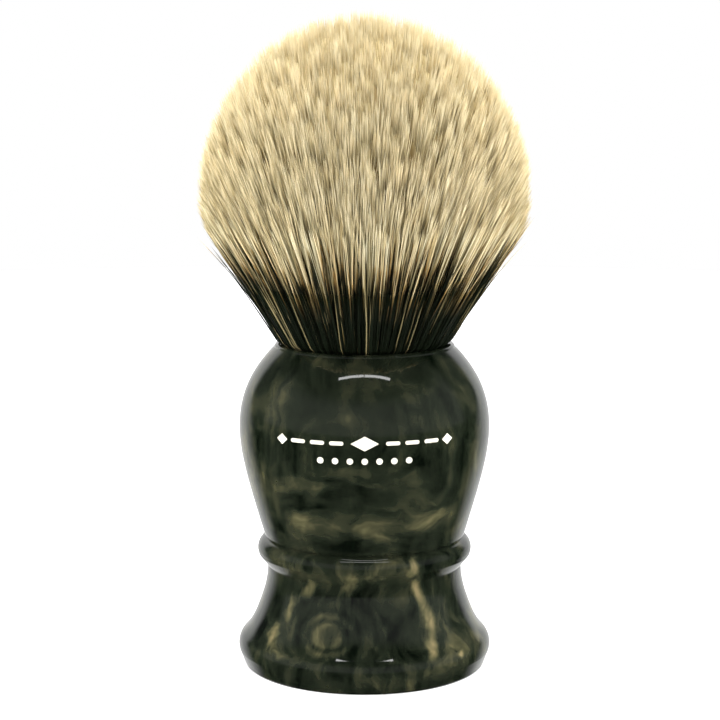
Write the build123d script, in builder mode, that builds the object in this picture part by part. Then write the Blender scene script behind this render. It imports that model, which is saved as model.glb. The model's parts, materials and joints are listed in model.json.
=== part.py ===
from build123d import *
import os

os.makedirs("parts", exist_ok=True)

# Shaving brush, standing on its foot.
# Frame: origin at the centre of the foot's resting face, +Z up the brush's axis,
# the ornament on the front of the bulb faces -Y. Millimetres.

# ---------------------------------------------------------------- driving sizes
HANDLE_HEIGHT = 53.35       # table to the top of the socket's lip
BRUSH_HEIGHT = 105.9        # table to the top of the hair
FOOT_RADIUS = 20.8          # widest point of the foot
REST_RADIUS = 19.5          # outside of the flat ring that the brush stands on
WAIST_RADIUS = 15.95        # narrowest point, under the collar
COLLAR_RADIUS = 17.6        # widest point of the collar ring
BULB_RADIUS = 20.45         # widest point of the bulb
HAIR_RADIUS = 26.4          # widest point of the fan of hair

DISH_RADIUS = 15.5          # hollowed underside, so the foot rests on a ring
DISH_DEPTH = 1.2

SOCKET_RADIUS = 13.5        # bored hole for a 26 mm knot and its bed of adhesive
SOCKET_FLOOR = 33.0
SOCKET_MOUTH = 53.05        # where the bore runs out into the rounded lip
LIP_RADIUS = 13.95          # highest ring of the lip

PLUG_RADIUS = 13.0          # cast plug that holds the hair's ends
PLUG_FLOOR = 34.0           # the adhesive under it is 1 mm thick
PLUG_TOP = 46.0
ROOT_RADIUS = 12.2          # tied bundle of hair inside the plug
ROOT_FLOOR = 35.0
BINDING_LOW = 41.0          # band of thread wound round the bundle
BINDING_HIGH = 44.0
BINDING_CORD = 0.5          # thickness of that thread

NECK_RADIUS = 13.3          # hair in the bore, just clear of its wall
KNOT_PIVOT = 63.0           # height that the hair bends about
LOWER_SPHERE = 23.5         # the lower hair lies inside this sphere about the pivot
MIDDLE_SPHERE = 27.0        # the middle hair lies between the two spheres
ZONE_GAP = 0.3              # room between hair zones that turn on each other

INLAY_DEPTH = 0.25          # paint-filled engraving
UPPER_ROW = 40.4            # height of the row of lozenges and dashes
CENTRE_LOZENGE = (4.4, 2.3)
END_LOZENGE = (1.6, 1.7)
END_LOZENGE_PLACE = 12.9    # from the middle of the row
DASH = (2.2, 0.6)
DASHES_EACH_SIDE = 3
FIRST_DASH_PLACE = 4.4
DASH_SPACING = 3.0
LOWER_ROW = 37.6            # height of the row of dots
DOTS = 7
DOT_RADIUS = 0.5
DOT_SPACING = 2.3
ENGRAVING_REACH = 24.0      # how far the engraving's prisms reach to the front


# ---------------------------------------------------------------- outlines
# Every outline is a radius and a height, drawn on the XZ plane and turned about Z.

BULB_FOOT = (16.5, 21.9)
BULB_SHOULDER = (14.7, 52.8)


def bulb_side(inset=0.0):
    """The bulb's side, from the groove over the collar to the rounded lip."""
    return Spline(
        (BULB_FOOT[0] - inset, BULB_FOOT[1]),
        (18.85 - inset, 30.0),
        (BULB_RADIUS - inset, 40.6),
        (18.4 - inset, 48.0),
        (BULB_SHOULDER[0] - inset, BULB_SHOULDER[1]),
        tangents=((0.3, 1.0), (-1.0, 0.95)),
    )


def collar_outline():
    """The groove, the collar's rounded face and its bevel down to the waist."""
    groove_upper = (16.75, 21.15)
    collar_edge = (17.45, 18.6)
    waist_top = (WAIST_RADIUS, 16.7)
    Line(BULB_FOOT, (16.2, 21.5))
    Line((16.2, 21.5), groove_upper)
    ThreePointArc(groove_upper, (17.5, 20.1), (COLLAR_RADIUS, 19.3))
    Line((COLLAR_RADIUS, 19.3), collar_edge)
    Line(collar_edge, waist_top)
    return waist_top


def foot_outline(waist_top):
    """The waist flares into the foot: a hollow curve, a round lip, a bevel."""
    lip_radius = 3.0
    lip_centre = (FOOT_RADIUS - lip_radius, 3.4)
    lip_reach = lip_radius * 2 ** -0.5
    lip_upper = (lip_centre[0] + lip_reach, lip_centre[1] + lip_reach)
    crease = (20.7, 2.6)
    Spline(
        waist_top,
        (17.4, 10.0),
        lip_upper,
        tangents=((0.0, -1.0), (1.0, -1.0)),
    )
    ThreePointArc(lip_upper, (FOOT_RADIUS, lip_centre[1]), crease)
    Line(crease, (19.8, 0.3))
    Line((19.8, 0.3), (REST_RADIUS, 0.0))


def handle_outline():
    """The whole turned handle: socket, lip, bulb, collar, foot and underside."""
    Line((0.0, DISH_DEPTH), (0.0, SOCKET_FLOOR))
    Line((0.0, SOCKET_FLOOR), (SOCKET_RADIUS, SOCKET_FLOOR))
    Line((SOCKET_RADIUS, SOCKET_FLOOR), (SOCKET_RADIUS, SOCKET_MOUTH))
    ThreePointArc((SOCKET_RADIUS, SOCKET_MOUTH), (LIP_RADIUS, HANDLE_HEIGHT), BULB_SHOULDER)
    bulb_side()
    foot_outline(collar_outline())
    Line((REST_RADIUS, 0.0), (DISH_RADIUS, 0.0))
    TangentArc((0.0, DISH_DEPTH), (DISH_RADIUS, 0.0), tangent=(1.0, 0.0))


def hair_outline():
    """The fan of hair over the plug: a neck, a widening cone and a rounded crown."""
    neck_top = (NECK_RADIUS, 52.8)
    over_lip = (14.3, 53.95)
    Line((0.0, PLUG_TOP), (NECK_RADIUS, PLUG_TOP))
    Line((NECK_RADIUS, PLUG_TOP), neck_top)
    TangentArc(neck_top, over_lip, tangent=(0.0, 1.0))
    Spline(
        over_lip,
        (18.7, 60.5),
        (23.8, 68.5),
        (HAIR_RADIUS, 77.5),
        (24.8, 88.0),
        (19.1, 98.0),
        (11.2, 103.6),
        (0.0, BRUSH_HEIGHT),
        tangents=((0.62, 1.0), (-1.0, 0.0)),
    )
    Line((0.0, BRUSH_HEIGHT), (0.0, PLUG_TOP))


def turned(outline):
    """Turn a closed outline about the brush's axis inside the current part."""
    with BuildSketch(Plane.XZ) as section:
        with BuildLine():
            outline()
        make_face()
    revolve(section.sketch, axis=Axis.Z)


# ---------------------------------------------------------------- ornament
def inlay_skin_outline():
    """A thin skin just under the bulb's surface, as thick as the engraving."""
    outer = bulb_side()
    inner = bulb_side(INLAY_DEPTH)
    Line(outer @ 0, inner @ 0)
    Line(outer @ 1, inner @ 1)


def lozenge(width, height):
    """An upright lozenge at the current location."""
    half_width = width / 2
    half_height = height / 2
    Polygon((half_width, 0), (0, half_height), (-half_width, 0), (0, -half_height))


with BuildPart() as front_inlay:
    turned(inlay_skin_outline)
    with BuildSketch(Plane.XZ):
        with Locations((0, UPPER_ROW)):
            lozenge(*CENTRE_LOZENGE)
        for side in (-1, 1):
            for step in range(DASHES_EACH_SIDE):
                with Locations((side * (FIRST_DASH_PLACE + DASH_SPACING * step), UPPER_ROW)):
                    SlotOverall(*DASH)
            with Locations((side * END_LOZENGE_PLACE, UPPER_ROW)):
                lozenge(*END_LOZENGE)
        with Locations((0, LOWER_ROW)):
            with GridLocations(DOT_SPACING, 1, DOTS, 1):
                Circle(DOT_RADIUS)
    extrude(amount=ENGRAVING_REACH, mode=Mode.INTERSECT)
front_inlay.part.label = "front_inlay"
export_step(front_inlay.part, "parts/front_inlay.step")


# ---------------------------------------------------------------- handle
with BuildPart() as handle:
    turned(handle_outline)
    add(front_inlay.part, mode=Mode.SUBTRACT)
handle.part.label = "handle"
export_step(handle.part, "parts/handle.step")


# ---------------------------------------------------------------- knot in its socket
with BuildPart() as socket_adhesive:
    with BuildSketch(Plane.XY.offset(SOCKET_FLOOR)):
        Circle(SOCKET_RADIUS)
    extrude(amount=PLUG_TOP - SOCKET_FLOOR)
    with BuildSketch(Plane.XY.offset(PLUG_FLOOR)):
        Circle(PLUG_RADIUS)
    extrude(amount=PLUG_TOP - PLUG_FLOOR, mode=Mode.SUBTRACT)
socket_adhesive.part.label = "socket_adhesive"
export_step(socket_adhesive.part, "parts/socket_adhesive.step")


with BuildPart() as binding_thread:
    with BuildSketch(Plane.XY.offset(BINDING_LOW)):
        Circle(ROOT_RADIUS + BINDING_CORD)
        Circle(ROOT_RADIUS, mode=Mode.SUBTRACT)
    extrude(amount=BINDING_HIGH - BINDING_LOW)
    fillet(
        binding_thread.edges().filter_by(GeomType.CIRCLE).group_by(SortBy.RADIUS)[-1],
        BINDING_CORD * 0.4,
    )
binding_thread.part.label = "binding_thread"
export_step(binding_thread.part, "parts/binding_thread.step")


with BuildPart() as knot_plug:
    with BuildSketch(Plane.XY.offset(PLUG_FLOOR)):
        Circle(PLUG_RADIUS)
    extrude(amount=PLUG_TOP - PLUG_FLOOR)
    with BuildSketch(Plane.XY.offset(ROOT_FLOOR)):
        Circle(ROOT_RADIUS)
    extrude(amount=PLUG_TOP - ROOT_FLOOR, mode=Mode.SUBTRACT)
    add(binding_thread.part, mode=Mode.SUBTRACT)
knot_plug.part.label = "knot_plug"
export_step(knot_plug.part, "parts/knot_plug.step")


with BuildPart() as hair_root_ends:
    with BuildSketch(Plane.XY.offset(ROOT_FLOOR)):
        Circle(ROOT_RADIUS)
    extrude(amount=PLUG_TOP - ROOT_FLOOR)
hair_root_ends.part.label = "hair_root_ends"
export_step(hair_root_ends.part, "parts/hair_root_ends.step")


# ---------------------------------------------------------------- hair
# One bundle of hair, parted on spheres about the height it bends at, so each
# zone can turn on the one below it and the gap between them stays the same.
with BuildPart() as hair_lower_band:
    turned(hair_outline)
    with Locations((0, 0, KNOT_PIVOT)):
        Sphere(LOWER_SPHERE, mode=Mode.INTERSECT)
hair_lower_band.part.label = "hair_lower_band"
export_step(hair_lower_band.part, "parts/hair_lower_band.step")


with BuildPart() as hair_middle:
    turned(hair_outline)
    with Locations((0, 0, KNOT_PIVOT)):
        Sphere(MIDDLE_SPHERE, mode=Mode.INTERSECT)
        Sphere(LOWER_SPHERE + ZONE_GAP, mode=Mode.SUBTRACT)
hair_middle.part.label = "hair_middle"
export_step(hair_middle.part, "parts/hair_middle.step")


with BuildPart() as hair_crown:
    turned(hair_outline)
    with Locations((0, 0, KNOT_PIVOT)):
        Sphere(MIDDLE_SPHERE + ZONE_GAP, mode=Mode.SUBTRACT)
hair_crown.part.label = "hair_crown"
export_step(hair_crown.part, "parts/hair_crown.step")
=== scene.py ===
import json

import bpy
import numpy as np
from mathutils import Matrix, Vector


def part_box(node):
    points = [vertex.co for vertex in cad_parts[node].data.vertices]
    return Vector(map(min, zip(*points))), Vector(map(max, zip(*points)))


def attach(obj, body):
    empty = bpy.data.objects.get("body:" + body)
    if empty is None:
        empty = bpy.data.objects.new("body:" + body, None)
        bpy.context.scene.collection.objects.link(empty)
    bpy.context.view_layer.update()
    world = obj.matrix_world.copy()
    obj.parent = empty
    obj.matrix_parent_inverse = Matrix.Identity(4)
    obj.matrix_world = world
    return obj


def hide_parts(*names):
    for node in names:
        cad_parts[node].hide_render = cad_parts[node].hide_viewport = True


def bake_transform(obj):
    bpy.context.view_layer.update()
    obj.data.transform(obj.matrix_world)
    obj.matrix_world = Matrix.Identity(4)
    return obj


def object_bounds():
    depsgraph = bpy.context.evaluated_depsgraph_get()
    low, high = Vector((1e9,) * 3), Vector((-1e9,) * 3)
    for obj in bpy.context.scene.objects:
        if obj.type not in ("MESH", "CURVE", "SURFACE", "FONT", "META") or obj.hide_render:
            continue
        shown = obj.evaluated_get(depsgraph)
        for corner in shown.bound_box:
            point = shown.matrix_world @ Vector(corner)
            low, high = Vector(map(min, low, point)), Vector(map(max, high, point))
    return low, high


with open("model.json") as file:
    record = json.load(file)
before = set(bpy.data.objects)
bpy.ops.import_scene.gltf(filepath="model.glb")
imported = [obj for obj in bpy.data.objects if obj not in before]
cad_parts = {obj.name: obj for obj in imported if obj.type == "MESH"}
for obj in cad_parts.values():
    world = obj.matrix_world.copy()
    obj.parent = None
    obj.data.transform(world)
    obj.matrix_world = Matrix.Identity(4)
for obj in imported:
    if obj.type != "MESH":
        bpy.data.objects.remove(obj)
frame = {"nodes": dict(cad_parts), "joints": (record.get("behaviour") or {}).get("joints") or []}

# %% [markdown]
# # A shaving brush, built around its CAD frame
#
# The brush is a turned resin handle with a fan of hair glued into its top. The hard pieces come
# from the CAD frame and keep their shape; this script gives them their finish. The hair is a plain
# solid in the frame, so here it is made again as what it is: thousands of separate strands.
#
# Everything is in metres in the frame's own axes: Z runs up the brush, the front faces -Y. Sizes
# are easier to read in millimetres, so they are written that way and multiplied by `MM` at the end.

MM = 0.001
cad_low, cad_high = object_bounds()
nodes = frame["nodes"]
print("nodes:", ", ".join(sorted(nodes)))
print("CAD box, mm:", [round(float(h - l) / MM, 1) for l, h in zip(cad_low, cad_high)])

# %% [markdown]
# ## The camera
#
# A long lens close to table height looks slightly down on the brush. A long lens keeps the foot and
# the fan of hair in proportion, where a short one would swell whatever is nearer. The camera stands
# a little to one side of the brush's axis, so the brush sits a little right of the middle.

# %% Camera
CAMERA_PLACE = np.array([-0.73, -348.6, 103.8]) * MM
CAMERA_DIP = 0.152          # radians below level
FRAME_LENGTHS = 3.005       # focal length, in widths of the frame
SENSOR = 36.0               # width of the frame, in mm


def add_camera():
    """A camera that looks along +Y, tipped down by CAMERA_DIP."""
    data = bpy.data.cameras.new("camera")
    data.sensor_width = SENSOR
    data.lens = SENSOR * FRAME_LENGTHS
    data.clip_start = 0.01
    camera = bpy.data.objects.new("camera", data)
    camera.location = CAMERA_PLACE
    camera.rotation_euler = (np.pi / 2 - CAMERA_DIP, 0, 0)
    bpy.context.collection.objects.link(camera)
    bpy.context.scene.camera = camera
    return camera


camera = add_camera()
print("lens:", round(camera.data.lens, 1), "mm")

# %% [markdown]
# ## Helpers for materials
#
# Every finish here is a small network of nodes. Two helpers keep the networks short: one turns a
# paint-chart colour (0 to 255) into the linear light values that the renderer works with, and one
# adds a node, sets its plain inputs and joins its linked ones in a single call.

# %% Material helpers
def tone(red, green, blue):
    """A colour from 0 to 255 as linear light with full alpha."""
    channel = np.array([red, green, blue]) / 255
    light = np.where(channel <= 0.04045, channel / 12.92, ((channel + 0.055) / 1.055) ** 2.4)
    return (*light.tolist(), 1.0)


def add_node(tree, kind, settings=None, **inputs):
    """A new node. settings are its own properties; inputs are plain values or sockets to join."""
    node = tree.nodes.new(kind)
    for name, value in (settings or {}).items():
        setattr(node, name, value)
    for name, value in inputs.items():
        key = int(name[1:]) if name[0] == "_" and name[1:].isdigit() else name.replace("_", " ")
        socket = node.inputs[key]
        if isinstance(value, bpy.types.NodeSocket):
            tree.links.new(value, socket)
        else:
            socket.default_value = value
    return node


def ramp(tree, factor, *stops):
    """A colour ramp: stops are (place, colour) pairs."""
    node = add_node(tree, "ShaderNodeValToRGB", Fac=factor)
    band = node.color_ramp
    while len(band.elements) < len(stops):
        band.elements.new(0.5)
    for element, (place, colour) in zip(band.elements, stops):
        element.position = place
        element.color = colour
    return node.outputs["Color"]


def blend_colour(tree, factor, first, second, how="MIX"):
    """Mix two colours; how names the mixing rule."""
    node = tree.nodes.new("ShaderNodeMix")
    node.data_type = "RGBA"
    node.blend_type = how
    for index, value in ((0, factor), (6, first), (7, second)):
        if isinstance(value, bpy.types.NodeSocket):
            tree.links.new(value, node.inputs[index])
        else:
            node.inputs[index].default_value = value
    return node.outputs[2]


def calculate(tree, how, first, second=0.0, third=0.0, clamp=False):
    """One step of arithmetic on numbers."""
    node = tree.nodes.new("ShaderNodeMath")
    node.operation = how
    node.use_clamp = clamp
    for index, value in enumerate((first, second, third)):
        if isinstance(value, bpy.types.NodeSocket):
            tree.links.new(value, node.inputs[index])
        else:
            node.inputs[index].default_value = value
    return node.outputs[0]


def new_material(name):
    """An empty node material, its tree and its Principled shader."""
    material = bpy.data.materials.new(name)
    material.use_nodes = True
    tree = material.node_tree
    shader = tree.nodes["Principled BSDF"]
    return material, tree, shader


def finish_node(node_name, material):
    """Give every slot of a CAD node this material."""
    mesh = nodes[node_name].data
    mesh.materials.clear()
    mesh.materials.append(material)


print("white is", tone(255, 255, 255)[:3])

# %% [markdown]
# ## The room
#
# The resin is almost black, so what is seen on it is mostly the room mirrored in its polish: the
# bright wall behind wraps round its two sides, the dimmer wall in front lies over its upper half,
# and one slim bright strip overhead draws a thin line on the shoulder, just under the hair's own
# mirror image. The room is made of those few things.
#
# The soft lights that fill the hair are kept out of the mirror, and so is the floor: each would lay
# a grey veil over a black handle.

# %% Floor and lights
FLOOR_RADIUS = 0.6
FLOOR_SIDES = 96
FLOOR_GLOW = 0.42           # light of its own, so the floor meets the white backdrop
STRIP_PLACE = (0, -0.228, 0.52)
STRIP_SIZE = (0.38, 0.022)
SHOULDER = (0, -0.0168, 0.0505)     # where its mirror image lies


def add_floor():
    """A round pale floor under the brush: points on a circle and one face."""
    turn = np.arange(FLOOR_SIDES) * 2 * np.pi / FLOOR_SIDES
    rim = FLOOR_RADIUS * np.stack([np.cos(turn), np.sin(turn), np.zeros_like(turn)], 1)
    mesh = bpy.data.meshes.new("floor")
    mesh.from_pydata(rim.tolist(), [], [list(range(len(rim)))])
    floor = bpy.data.objects.new("floor", mesh)
    floor.visible_glossy = False
    bpy.context.collection.objects.link(floor)
    material, tree, shader = new_material("pale_floor")
    shader.inputs["Base Color"].default_value = tone(244, 244, 244)
    shader.inputs["Roughness"].default_value = 0.9
    shader.inputs["Specular IOR Level"].default_value = 0.1
    shader.inputs["Emission Color"].default_value = (1, 1, 1, 1)
    shader.inputs["Emission Strength"].default_value = FLOOR_GLOW
    mesh.materials.append(material)
    return floor


def add_panel(name, place, target, size, watts, mirrored=False):
    """A rectangular soft light at place, facing target. size is its width and height."""
    data = bpy.data.lights.new(name, "AREA")
    data.shape = "RECTANGLE"
    data.size, data.size_y = size
    data.energy = watts
    lamp = bpy.data.objects.new(name, data)
    lamp.location = place
    facing = Vector(target) - Vector(place)
    lamp.rotation_euler = facing.to_track_quat("-Z", "Y").to_euler()
    lamp.visible_glossy = mirrored
    bpy.context.collection.objects.link(lamp)
    return lamp


# %% [markdown]
# ## The walls
#
# A ray that leaves the resin is answered by the direction it goes in. Its Z part tells ground from
# wall, and its Y part tells the wall in front from the wall behind. The front wall fades out
# overhead and towards the sides, which leaves the dark lobes seen on each side of a polished bulb.
# The wall behind reaches a little further forward for rays that go down.

# %% Walls
GROUND_TO_WALL = (-0.03, 0.04)      # Z parts over which the ground gives way to the front wall
WALL_TO_CEILING = (0.45, 0.72)      # Z parts over which the front wall fades overhead
CEILING_SHARE = 0.15
WALL_TO_SIDE = (0.12, 0.32)         # Y parts over which it fades towards the sides
SIDE_SHARE = 0.2
DOWN_TO_UP = (-0.10, 0.15)          # Z parts over which the back wall draws back,
BACK_STARTS = (0.46, 0.66)          # from the first of these Y parts to the second
BACK_FULL = 0.80                    # Y part where it is fully seen


def fade(tree, value, start, end, low, high):
    """A smooth step from low to high while value goes from start to end."""
    return add_node(tree, "ShaderNodeMapRange", {"interpolation_type": "SMOOTHSTEP"}, Value=value,
                    From_Min=start, From_Max=end, To_Min=low, To_Max=high).outputs[0]


def light_world(behind, front, below):
    """Three levels of light: the wall behind, the wall in front and the ground in front."""
    world = bpy.data.worlds.new("surround")
    bpy.context.scene.world = world
    world.use_nodes = True
    tree = world.node_tree
    tree.nodes.clear()
    way = add_node(tree, "ShaderNodeTexCoord").outputs["Generated"]
    parts = add_node(tree, "ShaderNodeSeparateXYZ", Vector=way)
    backward, upward = parts.outputs["Y"], parts.outputs["Z"]
    rising = fade(tree, upward, *GROUND_TO_WALL, below, front)
    corner = fade(tree, upward, *DOWN_TO_UP, *BACK_STARTS)
    back = fade(tree, backward, corner, BACK_FULL, 0.0, 1.0)
    falling = fade(tree, upward, *WALL_TO_CEILING, 1.0, CEILING_SHARE)
    beside = fade(tree, backward, *WALL_TO_SIDE, 1.0, SIDE_SHARE)
    forward = calculate(tree, "MULTIPLY", rising, falling)
    forward = calculate(tree, "MULTIPLY", forward, beside)
    level = add_node(tree, "ShaderNodeMix", Factor=back, A=forward, B=behind)
    room = add_node(tree, "ShaderNodeBackground", Color=(1, 1, 1, 1), Strength=level.outputs[0])
    backdrop = add_node(tree, "ShaderNodeBackground", Color=(1, 1, 1, 1), Strength=1.0)
    seen = add_node(tree, "ShaderNodeLightPath").outputs["Is Camera Ray"]
    mix = add_node(tree, "ShaderNodeMixShader", _0=seen, _1=room.outputs[0],
                   _2=backdrop.outputs[0])
    add_node(tree, "ShaderNodeOutputWorld", Surface=mix.outputs[0])


# %% Lamps
OVERHEAD_WATTS = 8.4
FRONT_WATTS = 3.3
SIDE_WATTS = 5.8
STRIP_WATTS = 0.30

scene = bpy.context.scene
scene.view_settings.view_transform = "Standard"
add_floor()
light_world(behind=1.0, front=0.30, below=0.04)
add_panel("overhead", (0, -0.05, 0.70), (0, 0, 0.06), (0.60, 0.60), OVERHEAD_WATTS)
add_panel("front_fill", (0.05, -0.75, 0.42), (0, 0, 0.07), (0.70, 0.45), FRONT_WATTS)
add_panel("left_fill", (-0.50, 0.12, 0.20), (0, 0, 0.08), (0.40, 0.50), SIDE_WATTS)
add_panel("right_fill", (0.50, 0.12, 0.20), (0, 0, 0.08), (0.40, 0.50), SIDE_WATTS)
add_panel("strip", STRIP_PLACE, SHOULDER, STRIP_SIZE, STRIP_WATTS, mirrored=True)

# %% [markdown]
# ## Marbled resin
#
# The handle is one block of cast resin, turned and polished. The maker stirs olive and cream into
# black before the casting sets, so the clouds run through the whole block and are cut open by the
# turning. Stirring draws the paler colours out into streaks and, where the stick was lifted, leaves
# an eddy.
#
# One number is worked out at every point of the block, from a cloudy noise and a streaky one, and a
# colour ramp turns it into black, olive or cream. Low in the bulb the clouds settled flat, so a
# layered noise takes the place of the streaks there. Each cloud that the eye picks out on this
# brush is an ellipsoid in the block that adds to the number or takes from it, so its edges stay as
# ragged as the noise.

# %% Resin
UNIT = 1000.0               # object coordinates are metres; the patterns are sized in millimetres

# Each patch: its centre, its half sizes, its lean in the front plane, and what it adds.
PATCHES = (
    ((0, -17.8, 27.0), (19, 7, 3.2), 0.00, 0.16),       # cloud band at the foot of the bulb
    ((0, -17.5, 23.0), (19, 7, 1.5), 0.00, -0.09),      # with a dark shore under it
    ((-9, -14.5, 27.5), (5, 4, 2.6), 0.20, 0.05),
    ((10, -14.5, 27.0), (5, 4, 2.2), -0.25, 0.05),
    ((-2.0, -20.0, 35.4), (4.5, 4, 1.7), 0.00, 0.10),   # two drifts over it
    ((7.7, -18.5, 34.6), (2.0, 4, 2.0), 0.00, 0.09),
    ((-2.7, -19.8, 44.1), (2.0, 3, 1.6), 0.30, 0.10),   # two small patches over the ornament
    ((7.8, -18.4, 43.8), (1.9, 3, 1.4), -0.20, 0.07),
    ((-13.7, -13.5, 46.0), (1.3, 3, 5.0), 0.12, 0.05),  # streaks up the shoulder
    ((15.1, -11.4, 46.6), (1.3, 3, 4.0), -0.15, 0.05),
    ((-6.0, -13.3, 51.8), (4.5, 3, 1.5), 0.35, 0.10),
    ((-8.8, -13.2, 15.4), (1.3, 3, 2.8), 0.55, 0.24),   # long curved streak on the foot's left
    ((-11.8, -12.0, 11.9), (1.2, 3, 3.6), 0.45, 0.24),
    ((-14.6, -11.6, 7.8), (1.2, 3, 3.0), 0.25, 0.20),
    ((8.4, -13.8, 15.0), (1.1, 3, 3.4), -0.35, 0.25),   # long cream streak on its right
    ((10.3, -13.7, 10.8), (1.5, 3, 3.8), -0.20, 0.28),
    ((10.7, -15.8, 6.4), (1.3, 3, 3.2), 0.05, 0.24),
    ((15.3, -13.5, 4.9), (0.9, 2, 0.7), 0.00, 0.25),
    ((7.7, -15.8, 19.4), (1.7, 2, 2.4), -0.15, 0.26),   # cream patch in the collar
    ((-3.2, -17.2, 19.4), (3.0, 3, 2.4), 0.10, 0.12),
    ((-11.9, -12.4, 18.6), (1.2, 2, 2.2), 0.10, 0.14),
    ((12.6, -11.4, 18.3), (1.3, 2, 2.2), 0.00, 0.12),
    ((-9.3, -14.9, 19.0), (1.5, 2, 2.4), 0.00, -0.05),
    ((10.2, -14.2, 19.0), (0.9, 2, 2.4), 0.00, -0.09),
    ((0, -17.5, 9.5), (18, 9, 7.5), 0.00, -0.13),       # darker foot
    ((0, -20.4, 39.0), (15, 5, 2.6), 0.00, -0.04),      # plainer resin behind the ornament
    ((0, -20.4, 33.0), (18, 7, 6.0), 0.00, 0.04),
    ((0, 0, 52.9), (17, 17, 2.4), 0.00, -0.16),         # painted shade round the lip, under the hair
    ((0, -19.5, 1.8), (20, 9, 3.0), 0.00, 0.03),
)

# Two wide regions: centre, half sizes, lean and the share of it that is core.
SETTLED = ((0, -20.0, 29.0), (26, 14, 9.5), 0, 0.5)     # where the clouds lie in flat layers
QUIET = ((0, -20.0, 46.5), (26, 20, 9.0), 0, 0.5)       # where they are fainter
QUIET_LEVEL = 0.48
QUIETNESS = 0.45
CLOUD_SHARE = 0.55
STREAK_SHARE = 0.45

# The eddy where the stirring stick was lifted: rings, each a width and what it adds.
EDDY = (-6.0, -16.9, 8.8)
EDDY_RINGS = ((7.6, 0.17), (6.6, -0.15), (5.1, 0.20), (3.9, -0.13), (3.0, 0.16))
EDDY_FLATNESS = 0.75
EDDY_CORE = 0.72


# %% Patches and waves
SKIN = 1.1                  # how far a patch reaches, in its own half sizes


def patch(tree, place, centre, size, lean, core=0.15):
    """1 in the core of an ellipsoid, falling softly to 0 at its skin."""
    local = add_node(tree, "ShaderNodeMapping", {"vector_type": "TEXTURE"}, Vector=place,
                     Location=centre, Rotation=(0, lean, 0), Scale=size)
    reach = add_node(tree, "ShaderNodeVectorMath", {"operation": "LENGTH"})
    tree.links.new(local.outputs[0], reach.inputs[0])
    return fade(tree, reach.outputs["Value"], core, SKIN, 1.0, 0.0)


def warped(tree, place, scale, amount):
    """Points pushed about by a colour noise, so straight things turn wavy."""
    noise = add_node(tree, "ShaderNodeTexNoise", Vector=place, Scale=scale, Detail=3.0)
    centred = add_node(tree, "ShaderNodeVectorMath", {"operation": "SUBTRACT"}, _1=(0.5, 0.5, 0.5))
    tree.links.new(noise.outputs["Color"], centred.inputs[0])
    moved = add_node(tree, "ShaderNodeVectorMath", {"operation": "MULTIPLY_ADD"},
                     _1=(amount, amount, amount))
    tree.links.new(centred.outputs[0], moved.inputs[0])
    tree.links.new(place, moved.inputs[2])
    return moved.outputs[0]


# %% The marbling
def stirred_noise(tree, place):
    """The number before any patch: clouds, and streaks that turn to layers low in the bulb."""
    wavy = warped(tree, place, 0.12, 7.0)
    cloud = add_node(tree, "ShaderNodeTexNoise", Vector=wavy, Scale=0.085, Detail=4.0,
                     Roughness=0.50, Distortion=1.3).outputs["Fac"]
    drawn = add_node(tree, "ShaderNodeMapping", Vector=wavy, Scale=(0.55, 0.55, 0.07))
    streak = add_node(tree, "ShaderNodeTexNoise", Vector=drawn.outputs[0], Scale=1.0, Detail=3.0,
                      Roughness=0.45, Distortion=0.4).outputs["Fac"]
    flat = add_node(tree, "ShaderNodeMapping", Vector=wavy, Scale=(0.10, 0.10, 0.42))
    layer = add_node(tree, "ShaderNodeTexNoise", Vector=flat.outputs[0], Scale=1.0, Detail=3.0,
                     Roughness=0.5, Distortion=0.6).outputs["Fac"]
    settled = patch(tree, place, *SETTLED)
    drawn_out = add_node(tree, "ShaderNodeMix", Factor=settled, A=streak, B=layer).outputs[0]
    level = calculate(tree, "MULTIPLY", cloud, CLOUD_SHARE)
    level = calculate(tree, "MULTIPLY_ADD", drawn_out, STREAK_SHARE, level)
    quiet = calculate(tree, "MULTIPLY", patch(tree, place, *QUIET), QUIETNESS)
    return add_node(tree, "ShaderNodeMix", Factor=quiet, A=level, B=QUIET_LEVEL).outputs[0]


def resin_material():
    """Dark marbled resin under a clear polish."""
    material, tree, shader = new_material("marbled_resin")
    metres = add_node(tree, "ShaderNodeTexCoord").outputs["Object"]
    place = add_node(tree, "ShaderNodeVectorMath", {"operation": "SCALE"}, Scale=UNIT)
    tree.links.new(metres, place.inputs[0])
    place = place.outputs[0]
    level = stirred_noise(tree, place)
    soft = warped(tree, place, 0.40, 1.8)
    calm = warped(tree, place, 0.30, 1.0)
    for centre, size, lean, weight in PATCHES:
        cloud = patch(tree, soft, centre, size, lean)
        level = calculate(tree, "MULTIPLY_ADD", cloud, weight, level)
    for size, weight in EDDY_RINGS:
        ring = patch(tree, calm, EDDY, (size, size, EDDY_FLATNESS * size), 0, core=EDDY_CORE)
        level = calculate(tree, "MULTIPLY_ADD", ring, weight, level)
    colour = ramp(
        tree, level,
        (0.36, tone(3, 7, 3)), (0.49, tone(24, 29, 20)), (0.58, tone(42, 44, 31)),
        (0.68, tone(72, 70, 48)), (0.90, tone(134, 120, 86)),
    )
    tree.links.new(colour, shader.inputs["Base Color"])
    shader.inputs["Roughness"].default_value = 0.04
    shader.inputs["Specular IOR Level"].default_value = 0.45
    return material


resin = resin_material()
finish_node("handle", resin)
print("handle faces:", len(nodes["handle"].data.polygons), "patches:", len(PATCHES))

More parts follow.
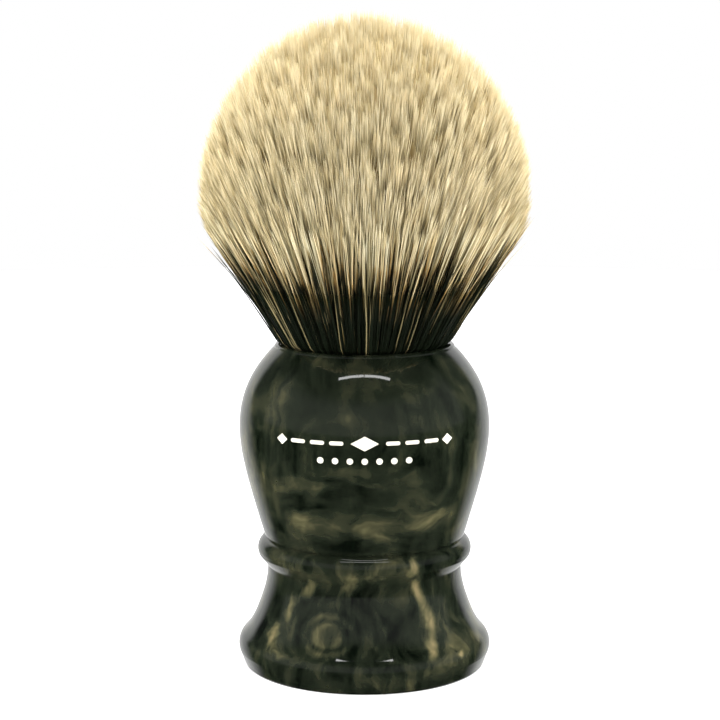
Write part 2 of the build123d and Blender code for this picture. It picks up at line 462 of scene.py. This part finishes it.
# %% [markdown]
# ## The fan of hair
#
# A shaving brush's knot is a bundle of several thousand hairs. Their roots are tied and cast into a
# plug; above the plug they fan out, so every hair is nearly straight and points away from one spot
# inside the handle. The tips lie on a smooth dome, because the maker shakes the bundle tips down
# into a rounded cup before tying it: nothing is cut.
#
# Blender's own hair system would draw such strands quickly, but it leaves no surface behind. Here
# each hair is a thin closed tube with three sides, so the strands are real geometry that any
# program can read. Three facts give the whole fan: the outside radius at each height, the dome that
# the tips lie on, and where each hair sits across the bundle.

# %% The fan's outside
SEED = 11
LIP = float(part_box("handle")[1].z) / MM
BRUSH_TOP = float(cad_high.z) / MM
PIVOT = frame["joints"][0]["pos_m"][2] / MM
NECK = 13.15                # radius of the bundle in the bore
OVER_LIP = LIP - 0.35       # height where it leaves the bore
ROLL = 0.6                  # how far it bulges over the lip
ROLL_HEIGHT = 1.2
CONE_SOFTNESS = 0.15
SLOPE = 0.625               # outward run of the outermost hair for each unit of height
DOME_CENTRE = 77.5          # height of the dome's widest ring
DOME_RADIUS = 27.3
LOOSE_TIPS = 1.2            # how far the finest tips stand over the body of the fan
DOME_RISE = BRUSH_TOP + LOOSE_TIPS - DOME_CENTRE
FAN_APEX = OVER_LIP - (NECK + ROLL) / SLOPE


def ease(value):
    """Smooth step: three times the square less twice the cube of a value held between 0 and 1."""
    held = np.clip(value, 0.0, 1.0)
    return held * held * (3 - 2 * held)


def fan_radius(height):
    """The neck, plus a short roll over the lip, plus a straight cone that starts softly."""
    above = height - OVER_LIP
    cone = CONE_SOFTNESS * np.logaddexp(0.0, above / CONE_SOFTNESS)
    return NECK + ROLL * ease((above + 0.05) / ROLL_HEIGHT) + SLOPE * cone


def tip_height(share):
    """Where the straight hair at this share of the radius meets the dome.

    The hair's radius is share * SLOPE * (height - FAN_APEX), the dome is an ellipse, and putting
    one into the other gives a quadratic equation in the height.
    """
    lean = (share * SLOPE / DOME_RADIUS) ** 2
    rise = 1 / DOME_RISE ** 2
    a = lean + rise
    b = -2 * (lean * FAN_APEX + rise * DOME_CENTRE)
    c = lean * FAN_APEX ** 2 + rise * DOME_CENTRE ** 2 - 1
    return (-b + np.sqrt(b * b - 4 * a * c)) / (2 * a)


print("outermost hair ends at", round(float(tip_height(1.0)), 1), "mm; middle hair at",
      round(float(tip_height(0.0)), 1), "mm")

# %% [markdown]
# ## Where the hairs stand
#
# Hairs cling together in small tufts. Each tuft's middle is placed by the sunflower rule, which
# fills a disc evenly: tuft number k stands at the square root of its share of the disc and turns by
# the golden angle from the one before. The hairs of a tuft scatter round its middle at the root and
# draw together towards the tip, which leaves dark gaps between the tufts. Each tuft leans a little
# its own way.

# %% Tufts and hairs
GOLDEN_ANGLE = np.pi * (3 - np.sqrt(5))
SCATTER = 0.62              # spread of a tuft's hairs, in distances between tufts
TUFT_LEAN = 0.026           # how far tips wander, as shares of the bundle's radius
HAIR_LEAN = 0.007
PULL = 0.85                 # how closely the hairs of a tuft may draw together


def plant_hairs(generator, tufts, hairs, inner, outer):
    """Hairs on a disc of radius 1, between two radii.

    Returns, for each hair, its tuft's middle, its own place from there, the lean of its tip, how
    much it clings (0 to PULL) and its tuft's number.
    """
    number = np.arange(tufts)
    share = np.sqrt(inner ** 2 + (number + 0.5) / tufts * (outer ** 2 - inner ** 2))
    turn = number * GOLDEN_ANGLE
    middle = share[:, None] * np.stack([np.cos(turn), np.sin(turn)], 1)
    spacing = np.sqrt((outer ** 2 - inner ** 2) / tufts)
    middle = middle + generator.normal(0, 0.25 * spacing, middle.shape)
    tuft = generator.integers(0, tufts, hairs)
    apart = generator.normal(0, SCATTER * spacing, (hairs, 2))
    wild = np.clip(generator.standard_t(2.5, (hairs, 2)), -9, 9)
    lean = generator.normal(0, TUFT_LEAN, (tufts, 2))[tuft] + HAIR_LEAN * wild
    cling = PULL * generator.uniform(0.2, 1.0, hairs)
    return middle[tuft], apart, lean, cling, tuft


def hold_inside(place, reach):
    """Points outside a circle are drawn back onto it."""
    length = np.linalg.norm(place, axis=-1, keepdims=True)
    return place * np.minimum(1.0, reach / np.maximum(length, 1e-9))


# %% Strand paths
RIPPLE = 0.09               # how far a hair strays from straight


def across_at(plant, up):
    """Places across the bundle, as shares of its radius, at each part of the way up (0 to 1)."""
    middle, apart, lean, cling, _ = plant
    spread = 1 - cling[:, None] * ease(up * 1.5)
    wander = (up ** 1.2)[..., None] * lean[:, None]
    return middle[:, None] + spread[..., None] * apart[:, None] + wander


def strand_paths(generator, plant, height, high, loose):
    """Middle lines of strands, as an array of hairs by rings by 3, in millimetres.

    The place across the bundle is scaled by the fan's radius at each height. A loose hair also bows
    outward with the square of the way up. A small sine wave keeps it from being quite straight.
    """
    up = np.clip((height - OVER_LIP) / (high[:, None] - OVER_LIP), 0, 1)
    ragged = 0.98 + 0.03 * np.abs(generator.normal(0, 1, len(high)))
    across = hold_inside(across_at(plant, up), ragged[:, None, None])
    bow = 1 + loose[:, None] * up ** 2
    place = across * (fan_radius(height) * bow)[..., None]
    wave = generator.uniform(0, 2 * np.pi, (len(high), 1, 2))
    ripple = RIPPLE * np.sin(wave + 7.0 * up[..., None]) * ease(up * 5)[..., None]
    return np.concatenate([place + ripple, height[..., None]], axis=2)


# %% [markdown]
# ## From lines to tubes
#
# A tube needs a ring of points round each point of its line. The hairs all run upward, so level
# rings serve them all, and two halves of one hair meet exactly where it is parted. The foot of the
# tube is closed by one triangle and its tip runs out into a point, so each strand is a closed skin.

# %% Tubes
SIDES = 3


def write_mesh(name, points, quads, triangles, colours=None):
    """A mesh object from whole arrays: points in millimetres, faces and a colour for each point."""
    mesh = bpy.data.meshes.new(name)
    loops = np.concatenate([quads.ravel(), triangles.ravel()])
    sizes = np.concatenate([np.full(len(quads), 4), np.full(len(triangles), 3)])
    starts = np.concatenate([[0], np.cumsum(sizes)[:-1]])
    mesh.vertices.add(len(points))
    mesh.vertices.foreach_set("co", (points * MM).astype(np.float32).ravel())
    mesh.loops.add(len(loops))
    mesh.loops.foreach_set("vertex_index", loops.astype(np.int32))
    mesh.polygons.add(len(sizes))
    mesh.polygons.foreach_set("loop_start", starts.astype(np.int32))
    mesh.update(calc_edges=True)
    mesh.polygons.foreach_set("use_smooth", sizes == 4)
    if colours is not None:
        layer = mesh.attributes.new("strand", "FLOAT_COLOR", "POINT")
        layer.data.foreach_set("color", colours.astype(np.float32).ravel())
    mesh.validate()
    piece = bpy.data.objects.new(name, mesh)
    bpy.context.collection.objects.link(piece)
    return piece


def tubes(name, lines, radii, colours, phase, pointed=True):
    """Closed tubes along lines: hairs by rings by 3, with a radius and a colour for each ring.

    phase turns each hair's rings by its own angle. A pointed tube ends in a single point; otherwise
    both its ends are flat triangles.
    """
    hairs, rings, _ = lines.shape
    turn = np.arange(SIDES) * 2 * np.pi / SIDES + phase[:, None]
    spoke = np.stack([np.cos(turn), np.sin(turn), np.zeros_like(turn)], 2)
    tube_rings = rings - 1 if pointed else rings
    ring = lines[:, :tube_rings, None] + radii[:, :tube_rings, None, None] * spoke[:, None]
    each = tube_rings * SIDES + (1 if pointed else 0)
    points = ring.reshape(hairs, tube_rings * SIDES, 3)
    shade = np.repeat(colours[:, :tube_rings], SIDES, axis=1)
    if pointed:
        points = np.concatenate([points, lines[:, -1:]], axis=1)
        shade = np.concatenate([shade, colours[:, -1:]], axis=1)
    corner = np.arange(SIDES)
    beside = (corner + 1) % SIDES
    step = np.arange(tube_rings - 1)[:, None] * SIDES
    quad = np.stack([step + corner, step + beside,
                     step + beside + SIDES, step + corner + SIDES], 2)
    foot = corner[::-1][None]
    last = (tube_rings - 1) * SIDES
    if pointed:
        cap = np.stack([last + corner, last + beside, np.full(SIDES, each - 1)], 1)
    else:
        cap = (last + corner)[None]
    start = (np.arange(hairs) * each)[:, None, None]
    quads = (start + quad.reshape(1, -1, 4)).reshape(-1, 4)
    triangles = (start + np.concatenate([foot, cap])[None]).reshape(-1, 3)
    return write_mesh(name, points.reshape(-1, 3), quads, triangles, shade.reshape(-1, 4))


# %% [markdown]
# ## Two bands of colour
#
# Badger hair is dark at the root and pale towards the tip. Where the dark ends differs from hair to
# hair and from tuft to tuft, so the border is ragged. A few hairs are pale almost to the root. The
# colour of every point is worked out here and kept in the mesh itself, as an attribute named
# `strand`: red is how pale it is, green is how light, blue is how warm. The colours then follow the
# hair when the fan bends.
#
# Little light gets down between the hairs, and a render with a few thousand strands lets in too
# much of it. So green also darkens with the depth below the fan's outside.

# %% Colouring
BORDER = 64.5               # usual height where the dark band ends
TUFT_RAGGED = 1.7           # how far the border strays from tuft to tuft
HAIR_RAGGED = 2.2           # and from hair to hair
PALE_LOW, PALE_HIGH = 44, 60    # where a pale hair's own border lies
PALE_LIGHT = 0.50
YOUNG_PALE = 0.65           # paleness just over the border, which grows to 1
RIPE_FROM, RIPE_OVER = 64, 16
USUAL_LIGHT = 0.86
EVEN_LIGHT = 0.95           # hairs grow alike towards the tips
EVEN_FROM, EVEN_OVER = 78, 20
DEEP_LIGHT = 0.35           # light that reaches the deepest hair
SIDE_FADE = 2.2             # depth over which light fades at the side
CROWN_FADE = 1.6            # and how much deeper it reaches in the crown
CROWN_FROM, CROWN_OVER = 80, 20
TUFT_NOISE = np.random.default_rng(SEED + 7).normal(0, 1.0, 4000)
TUFT_WARMTH = np.random.default_rng(SEED + 8).uniform(0, 1, 4000)


def border_height(turn):
    """The border rises and falls round the brush: three sine waves of the angle."""
    return (BORDER + 0.8 * np.sin(turn * 2 + 0.6) + 0.7 * np.sin(turn * 5 + 2.1)
            + 0.6 * np.sin(turn * 9 + 4.0))


def daylight(lines):
    """How much light reaches each point: it fades with the depth below the fan's outside.

    On the dome the depth is read from the ellipse that passes through the point; below the dome's
    widest ring it is the distance to the cone or to the widest ring, whichever is nearer.
    """
    height = lines[..., 2]
    radius = np.linalg.norm(lines[..., :2], axis=2)
    over = np.maximum(height - DOME_CENTRE, 0) / DOME_RISE
    dome_depth = DOME_RADIUS * (1 - np.sqrt((radius / DOME_RADIUS) ** 2 + over ** 2))
    depth = np.maximum(np.minimum(dome_depth, fan_radius(height) - radius), 0)
    reach = SIDE_FADE + CROWN_FADE * ease((height - CROWN_FROM) / CROWN_OVER)
    return DEEP_LIGHT + (1 - DEEP_LIGHT) * np.exp(-depth / reach)


def strand_colours(generator, lines, tuft, pale_share):
    """Paleness, lightness and warmth for each ring of each hair."""
    hairs, rings, _ = lines.shape
    turn = np.arctan2(lines[:, -1, 1], lines[:, -1, 0])
    border = border_height(turn) + TUFT_RAGGED * TUFT_NOISE[tuft]
    border = border + generator.normal(0, HAIR_RAGGED, hairs)
    pale_hair = generator.uniform(0, 1, hairs) < pale_share
    border = np.where(pale_hair, generator.uniform(PALE_LOW, PALE_HIGH, hairs), border)
    width = np.where(pale_hair, 3.0, generator.uniform(2.0, 6.0, hairs))
    height = lines[..., 2]
    turned = ease((height - border[:, None]) / width[:, None])
    ripen = ease((height - RIPE_FROM) / RIPE_OVER)
    light = generator.normal(0, 0.18, hairs) - 0.12 * TUFT_NOISE[tuft]
    light = np.where(pale_hair, PALE_LIGHT, np.clip(USUAL_LIGHT + light, 0.25, 1.0))
    alike = 0.75 * ease((height - EVEN_FROM) / EVEN_OVER)
    evened = light[:, None] + alike * (EVEN_LIGHT - light[:, None])
    warm = np.clip(0.7 * TUFT_WARMTH[tuft] + 0.3 * generator.uniform(0, 1, hairs), 0, 1)
    warm = np.where(pale_hair, 0.2 * warm, warm)
    shade = np.empty((hairs, rings, 4))
    shade[..., 0] = turned * (YOUNG_PALE + (1 - YOUNG_PALE) * ripen)
    shade[..., 1] = evened * daylight(lines)
    shade[..., 2] = warm[:, None]
    shade[..., 3] = 1.0
    return shade


# %% Hair finish
def hair_material():
    """Fibre whose colour is read from the strand attribute."""
    material, tree, shader = new_material("badger_hair")
    strand = add_node(tree, "ShaderNodeAttribute", {"attribute_name": "strand"})
    parts = add_node(tree, "ShaderNodeSeparateColor", Color=strand.outputs["Color"])
    cool = ramp(
        tree, parts.outputs["Red"],
        (0.0, tone(22, 29, 18)), (0.30, tone(60, 58, 38)), (0.55, tone(140, 130, 90)),
        (0.80, tone(219, 213, 182)), (1.0, tone(255, 246, 214)),
    )
    warm = ramp(
        tree, parts.outputs["Red"],
        (0.0, tone(24, 32, 20)), (0.30, tone(84, 64, 36)), (0.55, tone(166, 130, 74)),
        (0.80, tone(230, 209, 160)), (1.0, tone(255, 238, 196)),
    )
    colour = blend_colour(tree, parts.outputs["Blue"], cool, warm)
    shadow = ramp(
        tree, parts.outputs["Green"],
        (0.0, (0.04, 0.040, 0.030, 1)), (0.5, (0.47, 0.438, 0.345, 1)), (1.0, (1, 1, 1, 1)),
    )
    colour = blend_colour(tree, 1.0, colour, shadow, "MULTIPLY")
    tree.links.new(colour, shader.inputs["Base Color"])
    shader.inputs["Roughness"].default_value = 0.5
    shader.inputs["Specular IOR Level"].default_value = 0.12
    return material


hair = hair_material()
borders = border_height(np.linspace(0, 2 * np.pi, 99))
print("border between", round(float(borders.min()), 1), "and", round(float(borders.max()), 1), "mm")

# %% [markdown]
# ## Parting at the pivot
#
# The frame bends the bundle about a pivot a little above the lip: the middle of the tuft leans fore
# and aft on the handle, and the crown leans sideways on the middle. Hair doesn't break at a hinge,
# so a strand is parted at the pivot's height. Here each half only has its place baked into its
# mesh; no bending is set up.


def bend_lower(piece):
    """The half under the pivot: its place is baked into its mesh, and no bend is set up."""
    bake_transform(piece)


def bend_upper(piece):
    """The half over the pivot: its place is baked into its mesh, and no bend is set up."""
    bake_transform(piece)


# %% [markdown]
# ## The strands themselves
#
# Only the outer hairs can be seen from root to tip. The inner ones show nothing but their ends, so
# they are made from a little below the dome. A hair keeps its width almost to the end and then runs
# out to a fine tip, which is what makes the dome look soft.

# %% Widths and lengths
HAIR_RADIUS = 0.105
TAPER = 11.0                # length of the thinner end
TIP_SHARE = 0.38
SHORT_TUFT = 2.2            # how far the shortest tuft stays under the dome
SHORT_HAIR = 0.38


def hair_width(height, high):
    """Full width up to the last few millimetres, then a taper by the cube of the way to the tip."""
    left = np.clip((high[:, None] - height) / TAPER, 0, 1)
    return HAIR_RADIUS * (TIP_SHARE + (1 - TIP_SHARE) * (1 - (1 - left) ** 3))


def tip_heights(generator, plant):
    """The dome's height over each tip, less a little for the tuft and for the hair."""
    tip = across_at(plant, np.ones((len(plant[0]), 1)))[:, 0]
    tuft = plant[4]
    short_tuft = generator.uniform(0, 1, tuft.max() + 1) ** 2 * SHORT_TUFT
    short_hair = np.abs(generator.normal(0, SHORT_HAIR, len(tip)))
    share = np.minimum(np.linalg.norm(tip, axis=1), 1.0)
    return tip_height(share) - short_tuft[tuft] - short_hair


# %% Outer hair
OUTER_HAIRS = 10000
OUTER_TUFTS = 1500
OUTER_FROM = 0.80           # share of the radius where the outer hairs begin
OUTER_TO = 0.985
OUTER_PALE = 0.10           # share of hairs that are pale almost to the root
LOOSE_HAIRS = 26            # short strays that stand off the side of the fan
LOOSE_BOW = (0.04, 0.12)
LOOSE_TOP = (65.0, 72.0)
ROOT_RINGS = (51.0, 53.1, 54.0, 55.6, 58.5)     # heights; the strands start deep in the bore
SIDE_RINGS = (0.0, 0.20, 0.46, 0.76, 1.0)       # shares of the way from the parting to the tip
PARTING_SPREAD = 0.8        # strands are parted up to this far over the pivot


def make_outer_hair():
    """Outer strands, and how many of their rings belong to the half under the pivot."""
    generator = np.random.default_rng(SEED)
    plant = plant_hairs(generator, OUTER_TUFTS, OUTER_HAIRS, OUTER_FROM, OUTER_TO)
    high = tip_heights(generator, plant)
    loose = np.zeros(OUTER_HAIRS)
    loose[:LOOSE_HAIRS] = generator.uniform(*LOOSE_BOW, LOOSE_HAIRS)
    high[:LOOSE_HAIRS] = generator.uniform(*LOOSE_TOP, LOOSE_HAIRS)
    plant[0][:LOOSE_HAIRS] /= np.linalg.norm(plant[0][:LOOSE_HAIRS], axis=1, keepdims=True)
    parting = PIVOT + generator.uniform(0, PARTING_SPREAD, (OUTER_HAIRS, 1))
    lower = np.array(ROOT_RINGS) + 0 * parting
    upper = parting + (high[:, None] - parting) * np.array(SIDE_RINGS)
    height = np.concatenate([lower, upper], axis=1)
    lines = strand_paths(generator, plant, height, high, loose)
    shade = strand_colours(generator, lines, plant[4], OUTER_PALE)
    return lines, hair_width(height, high), shade, lower.shape[1] + 1


outer_lines, outer_radii, outer_shade, halves = make_outer_hair()
print("outer strands:", len(outer_lines), "rings:", outer_lines.shape[1])

# %% Inner hair
INNER_HAIRS = 34000
INNER_TUFTS = 2300
INNER_TO = OUTER_FROM + 0.04
INNER_PALE = 0.05
CUT = 14.0                  # length of an inner strand
LOWEST_CUT = (0.5, 4.0)     # heights over the pivot where the lowest of them start
INNER_RINGS = (0.0, 0.4, 0.75, 1.0)


def make_inner_hair():
    """The ends of the inner strands."""
    generator = np.random.default_rng(SEED + 1)
    plant = plant_hairs(generator, INNER_TUFTS, INNER_HAIRS, 0.0, INNER_TO)
    high = tip_heights(generator, plant)
    low = np.maximum(high - CUT, PIVOT + generator.uniform(*LOWEST_CUT, INNER_HAIRS))
    height = low[:, None] + (high - low)[:, None] * np.array(INNER_RINGS)
    lines = strand_paths(generator, plant, height, high, np.zeros(INNER_HAIRS))
    shade = strand_colours(generator, lines, plant[4], INNER_PALE)
    return lines, hair_width(height, high), shade


inner_lines, inner_radii, inner_shade = make_inner_hair()
print("inner strands:", len(inner_lines), "rings:", inner_lines.shape[1])


# %% Hair pieces
def add_hair(name, lines, radii, shade, batches, bend, pointed):
    """Split one set of strands into equal pieces, each with its finish and its place baked in."""
    phase = np.arange(len(lines)) * GOLDEN_ANGLE
    for batch in range(batches):
        pick = slice(batch, None, batches)
        piece = tubes(f"{name}_{batch + 1}", lines[pick], radii[pick], shade[pick], phase[pick],
                      pointed)
        piece.data.materials.append(hair)
        bend(piece)
        hair_pieces[bend].append(piece)
        print(piece.name, "strands:", len(lines[pick]), "faces:", len(piece.data.polygons))


hair_pieces = {bend_lower: [], bend_upper: []}
add_hair("hair_roots", outer_lines[:, :halves], outer_radii[:, :halves], outer_shade[:, :halves],
         3, bend_lower, False)
add_hair("hair_sides", outer_lines[:, halves - 1:], outer_radii[:, halves - 1:],
         outer_shade[:, halves - 1:], 2, bend_upper, True)
add_hair("hair_dome", inner_lines, inner_radii, inner_shade, 4, bend_upper, True)

# %% [markdown]
# ## The hidden inside
#
# Behind the strands that show there are thousands more. They are made as two plain bodies a few
# millimetres under the surface, ribbed lengthwise like packed hair, and given painted shade that
# keeps them dark where little light reaches.

# %% Ribbed bodies
PACK_TURNS = 240
RIB_HEIGHT = 0.3
PACK_WARMTH = 0.7


def ribbed_body(name, heights, radii, pale, light):
    """A ribbed surface of revolution closed by a point at each end.

    heights and radii are its profile; pale and light are its paleness and painted shade by height.
    The ribs are two sine waves of the angle and a little chance.
    """
    generator = np.random.default_rng(SEED + 2)
    turn = np.arange(PACK_TURNS) * 2 * np.pi / PACK_TURNS
    rib = 0.35 * np.sin(turn * 31) + 0.25 * np.sin(turn * 47 + 1)
    rib = rib + 0.2 * generator.normal(0, 1, PACK_TURNS)
    slim = np.minimum(1.0, radii / 6.0)
    radius = radii[:, None] + RIB_HEIGHT * rib * slim[:, None]
    x = radius * np.cos(turn)
    y = radius * np.sin(turn)
    z = np.repeat(heights[:, None], PACK_TURNS, 1)
    rings = np.stack([x, y, z], 2).reshape(-1, 3)
    foot = len(rings)
    points = np.concatenate([rings, [[0, 0, heights[0]], [0, 0, heights[-1]]]])
    column = np.arange(PACK_TURNS)
    beside = (column + 1) % PACK_TURNS
    row = (np.arange(len(heights) - 1) * PACK_TURNS)[:, None]
    quads = np.stack([row + column, row + beside, row + beside + PACK_TURNS,
                      row + column + PACK_TURNS], 2).reshape(-1, 4)
    top = (len(heights) - 1) * PACK_TURNS
    low_fan = np.stack([beside, column, np.full(PACK_TURNS, foot)], 1)
    high_fan = np.stack([top + column, top + beside, np.full(PACK_TURNS, foot + 1)], 1)
    shade = np.ones((len(points), 4))
    tints = np.clip(pale[:, None] * (1 + 0.25 * rib), 0, 1)
    shade[:foot, 0] = tints.ravel()
    shade[foot:, 0] = pale[[0, -1]]
    shade[:foot, 1] = np.repeat(light, PACK_TURNS)
    shade[foot:, 1] = light[[0, -1]]
    shade[:, 2] = PACK_WARMTH
    return write_mesh(name, points, quads, np.concatenate([low_fan, high_fan]), shade)


# %% Packed hair
PACK_SHARE = 0.83           # of the fan's radius
PACK_DEPTH = 3.6            # under the dome
TIED_LOW, TIED_HIGH = 35.2, 45.9    # the tied part of the bundle, inside the plug
TIED_RADIUS = 11.9
PINHOLE = 0.05              # radius of the ring next to each closing point
DEEP_SHADE = 0.2            # lightness of hair that is never lit
PACK_PALE = 0.80
CROWN_SHADE = 0.34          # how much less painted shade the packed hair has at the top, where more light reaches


def make_packed_hair():
    """The lower body fills the neck and the cone, the upper one the dome."""
    tied = [TIED_LOW, TIED_LOW, TIED_HIGH, TIED_HIGH + 0.3]
    low_heights = np.concatenate([tied, np.linspace(47, PIVOT, 12), [PIVOT]])
    low_radii = np.where(low_heights < 46, TIED_RADIUS, PACK_SHARE * fan_radius(low_heights))
    low_radii[[0, -1]] = PINHOLE
    dark = np.zeros_like(low_heights)
    lower = ribbed_body("packed_hair_lower", low_heights, low_radii, dark, dark + DEEP_SHADE)
    high_heights = np.concatenate([[PIVOT], np.linspace(PIVOT, BRUSH_TOP - PACK_DEPTH, 30)])
    inside = 1 - ((high_heights - DOME_CENTRE) / (DOME_RISE - PACK_DEPTH)) ** 2
    dome = (DOME_RADIUS - PACK_DEPTH) * np.sqrt(np.clip(inside, 1e-5, 1))
    high_radii = np.minimum(PACK_SHARE * fan_radius(high_heights), dome)
    high_radii[0] = PINHOLE
    pale = PACK_PALE * ease((high_heights - BORDER) / 24)
    light = DEEP_SHADE + CROWN_SHADE * ease((high_heights - 74) / 24)
    upper = ribbed_body("packed_hair_upper", high_heights, high_radii, pale, light)
    return lower, upper


packed_lower, packed_upper = make_packed_hair()
for piece, bend, slot in (
    (packed_lower, bend_lower, "dark_hair"),
    (packed_upper, bend_upper, "pale_hair"),
):
    piece.data.materials.append(hair)
    bend(piece)
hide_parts("hair_root_ends", "hair_lower_band")
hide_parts("hair_middle", "hair_crown")
print("strand faces:", sum(len(p.data.polygons) for group in hair_pieces.values() for p in group))

# %% [markdown]
# ## Paint, glue and thread
#
# The ornament is engraved, filled with ivory paint and wiped. Under the hair the knot stands in its
# own plug of cast glue, bedded in clear glue that has gone amber, and its root is bound with waxed
# thread. None of these show on a whole brush, but they are what holds it together.
#
# The thread is wound here as one cord: its middle line is a helix, whose height grows evenly with
# its turn, and a round section is carried along it, so the winding is a single closed tube.

# %% Paint and glue
def plain_material(name, dark, light, roughness, scale):
    """One colour with a faint cloudiness between two close tones."""
    material, tree, shader = new_material(name)
    place = add_node(tree, "ShaderNodeTexCoord").outputs["Object"]
    noise = add_node(tree, "ShaderNodeTexNoise", Vector=place, Scale=scale, Detail=3.0)
    colour = ramp(tree, noise.outputs["Fac"], (0.35, dark), (0.65, light))
    tree.links.new(colour, shader.inputs["Base Color"])
    shader.inputs["Roughness"].default_value = roughness
    return material


finish_node("front_inlay", plain_material("ivory_paint", tone(222, 216, 196),
                                          tone(240, 236, 220), 0.45, 500))
finish_node("socket_adhesive", plain_material("clear_adhesive", tone(150, 116, 62),
                                              tone(176, 140, 80), 0.2, 150))
finish_node("knot_plug", plain_material("plug_resin", tone(92, 70, 44),
                                        tone(120, 92, 56), 0.35, 150))
print("plain finishes:", [nodes[n].data.materials[0].name for n in
                          ("front_inlay", "socket_adhesive", "knot_plug")])

# %% Thread
THREAD_TURNS = 6            # cord widths across the binding, one more than its full turns
THREAD_STEPS = 60           # points for each turn
THREAD_SIDES = 10


def wind_thread():
    """The binding as a helix of cord, closed by a fan of triangles at each end.

    A point of the middle line stands out by the cord's own radius less than the bundle's outside,
    at an angle that grows evenly, and climbs from one edge of the binding to the other.
    """
    low, high = (np.array(corner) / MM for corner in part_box("binding_thread"))
    cord = (high[2] - low[2]) / (2 * THREAD_TURNS)
    way = np.linspace(0, 1, THREAD_TURNS * THREAD_STEPS)
    turn = 2 * np.pi * (THREAD_TURNS - 1) * way
    out = np.stack([np.cos(turn), np.sin(turn), np.zeros_like(turn)], 1)
    middle = (high[0] - cord) * out
    middle[:, 2] = low[2] + cord + (high[2] - low[2] - 2 * cord) * way
    round_way = np.arange(THREAD_SIDES) * 2 * np.pi / THREAD_SIDES
    upward = np.array([0, 0, 1.0])
    ring = np.cos(round_way)[:, None] * out[:, None] + np.sin(round_way)[:, None] * upward
    points = (middle[:, None] + cord * ring).reshape(-1, 3)
    corner = np.arange(THREAD_SIDES)
    beside = (corner + 1) % THREAD_SIDES
    row = (np.arange(len(way) - 1) * THREAD_SIDES)[:, None]
    quads = np.stack([row + corner, row + corner + THREAD_SIDES, row + beside + THREAD_SIDES,
                      row + beside], 2).reshape(-1, 4)
    start, end = len(points), len(points) + 1
    points = np.concatenate([points, middle[[0, -1]]])
    last = (len(way) - 1) * THREAD_SIDES
    first_fan = np.stack([np.full(THREAD_SIDES, start), corner, beside], 1)
    last_fan = np.stack([np.full(THREAD_SIDES, end), last + beside, last + corner], 1)
    return write_mesh("wound_thread", points, quads, np.concatenate([first_fan, last_fan]))


thread = wind_thread()
thread.data.materials.append(plain_material("waxed_thread", tone(196, 186, 160),
                                            tone(222, 214, 190), 0.7, 900))
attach(thread, "grip")
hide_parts("binding_thread")
print("thread faces:", len(thread.data.polygons))
